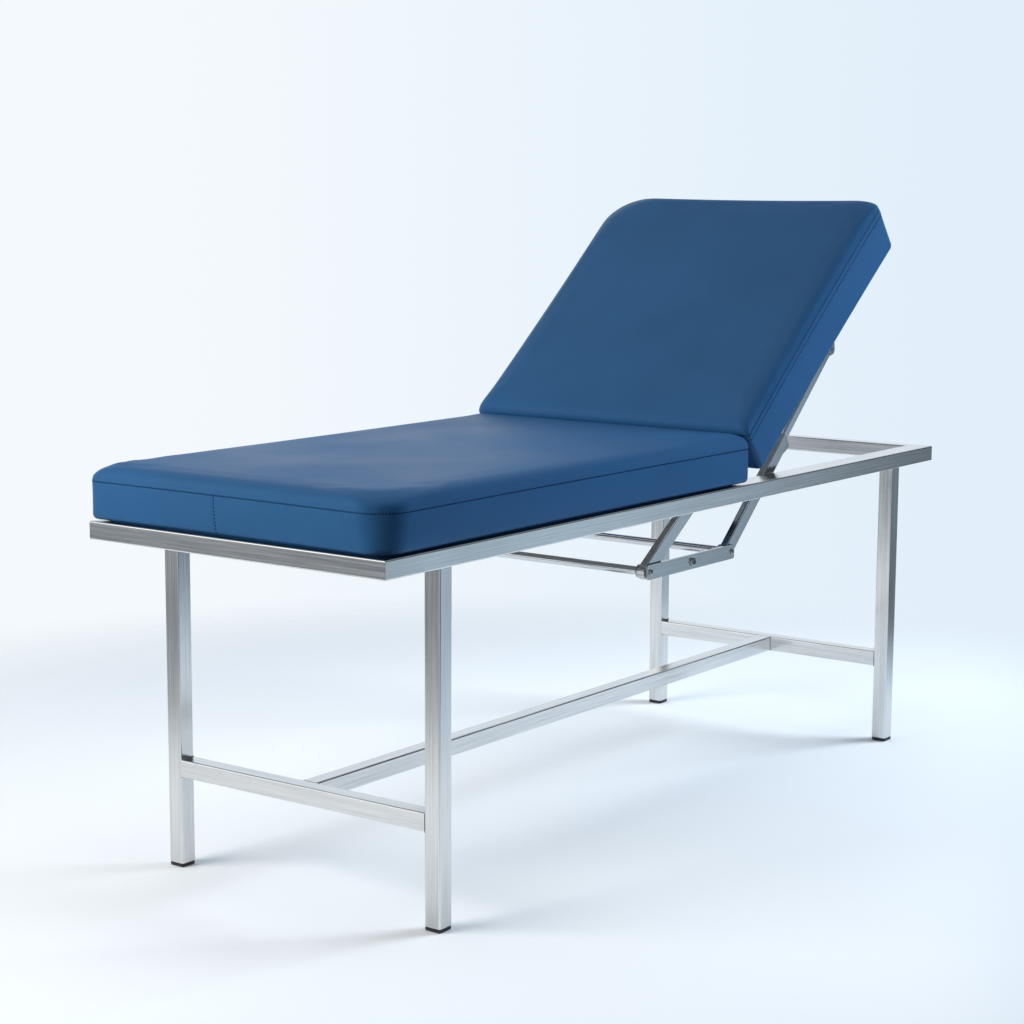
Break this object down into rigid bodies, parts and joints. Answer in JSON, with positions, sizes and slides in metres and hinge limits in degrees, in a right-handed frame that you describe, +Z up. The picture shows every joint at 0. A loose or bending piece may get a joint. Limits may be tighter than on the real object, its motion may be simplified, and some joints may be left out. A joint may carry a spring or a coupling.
{
  "type": "examination table",
  "caption": "Medical examination table: brushed steel tube frame on capped feet, blue vinyl seat pad, and a hinged backrest raised on telescopic ratchet struts.",
  "frame": {"origin": "on the floor, under the middle of the frame's footprint", "axes": "+Z up, +X along the table towards the head end with the raised backrest, +Y across it to the far side"},
  "size_m": [1.88, 0.65, 1.1733],
  "materials": {
    "frame_steel": "satin",
    "rod_chrome": "polished",
    "fastener_zinc": "satin",
    "foot_plastic": "matte",
    "bush_nylon": "satin",
    "vinyl": "satin",
    "plywood": "matte"
  },
  "bodies": {
    "frame": {"side_rail_near": "frame_steel", "side_rail_far": "frame_steel", "foot_end_rail": "frame_steel", "head_end_rail": "frame_steel", "leg_foot_near": "frame_steel", "leg_foot_far": "frame_steel", "leg_head_near": "frame_steel", "leg_head_far": "frame_steel", "cross_stretcher_foot": "frame_steel", "cross_stretcher_head": "frame_steel", "centre_stretcher": "frame_steel", "seat_cross_tube": "frame_steel", "hinge_cross_tube": "frame_steel", "foot_cap_foot_near": "foot_plastic", "foot_cap_foot_far": "foot_plastic", "foot_cap_head_near": "foot_plastic", "foot_cap_head_far": "foot_plastic", "seat_board": "plywood", "seat_cushion": "vinyl", "seat_screw_mid_near": "fastener_zinc", "seat_screw_mid_far": "fastener_zinc", "seat_screw_rear_near": "fastener_zinc", "seat_screw_rear_far": "fastener_zinc", "hinge_bracket_near": "frame_steel", "hinge_bracket_far": "frame_steel", "hinge_pin_near": "fastener_zinc", "hinge_pin_far": "fastener_zinc", "cradle_arm_near": "frame_steel", "cradle_arm_far": "frame_steel", "link_near": "frame_steel", "link_far": "frame_steel", "rod_front": "rod_chrome", "rod_rear": "rod_chrome", "rod_collar_front_near": "fastener_zinc", "rod_collar_front_far": "fastener_zinc", "rod_collar_rear_near": "fastener_zinc", "rod_collar_rear_far": "fastener_zinc", "link_screw_front_near": "fastener_zinc", "link_screw_front_far": "fastener_zinc", "link_screw_rear_near": "fastener_zinc", "link_screw_rear_far": "fastener_zinc", "link_bolt_near": "fastener_zinc", "link_bolt_far": "fastener_zinc", "link_nut_near": "fastener_zinc", "link_nut_far": "fastener_zinc"},
    "backrest": {"backrest_board": "plywood", "backrest_cushion": "vinyl", "hinge_leaf_near": "frame_steel", "hinge_leaf_far": "frame_steel", "strut_bracket_near": "frame_steel", "strut_bracket_far": "frame_steel", "strut_pin_near": "fastener_zinc", "strut_pin_far": "fastener_zinc"},
    "strut_tube_near": {"strut_outer_near": "frame_steel", "strut_bush_near": "bush_nylon"},
    "strut_tube_far": {"strut_outer_far": "frame_steel", "strut_bush_far": "bush_nylon"},
    "strut_inner_near": {"strut_bar_near": "rod_chrome"},
    "strut_inner_far": {"strut_bar_far": "rod_chrome"}
  },
  "joints": [
    {"name": "backrest_hinge", "type": "hinge", "parent": "frame", "child": "backrest", "pos_m": [0.164, 0, 0.685], "axis": [0, -1, 0], "range_deg": [-38.5, 0]},
    {"name": "strut_pivot_near", "type": "hinge", "parent": "frame", "child": "strut_tube_near", "pos_m": [0.165, -0.266, 0.5025], "axis": [0, -1, 0], "range_deg": [-32, 0]},
    {"name": "strut_pivot_far", "type": "hinge", "parent": "frame", "child": "strut_tube_far", "pos_m": [0.165, 0.266, 0.5025], "axis": [0, -1, 0], "range_deg": [-32, 0]},
    {"name": "strut_slide_near", "type": "slide", "parent": "strut_tube_near", "child": "strut_inner_near", "axis": [0.7361, 0, 0.6769], "range_m": [-0.107, 0]},
    {"name": "strut_slide_far", "type": "slide", "parent": "strut_tube_far", "child": "strut_inner_far", "axis": [0.7361, 0, 0.6769], "range_m": [-0.107, 0]}
  ],
  "couplings": [
    {"joint": "strut_pivot_near", "follows": "backrest_hinge", "ratio": 0.82539},
    {"joint": "strut_pivot_far", "follows": "backrest_hinge", "ratio": 0.82539},
    {"joint": "strut_slide_near", "follows": "backrest_hinge", "m_per_rad": 0.15703},
    {"joint": "strut_slide_far", "follows": "backrest_hinge", "m_per_rad": 0.15703}
  ]
}
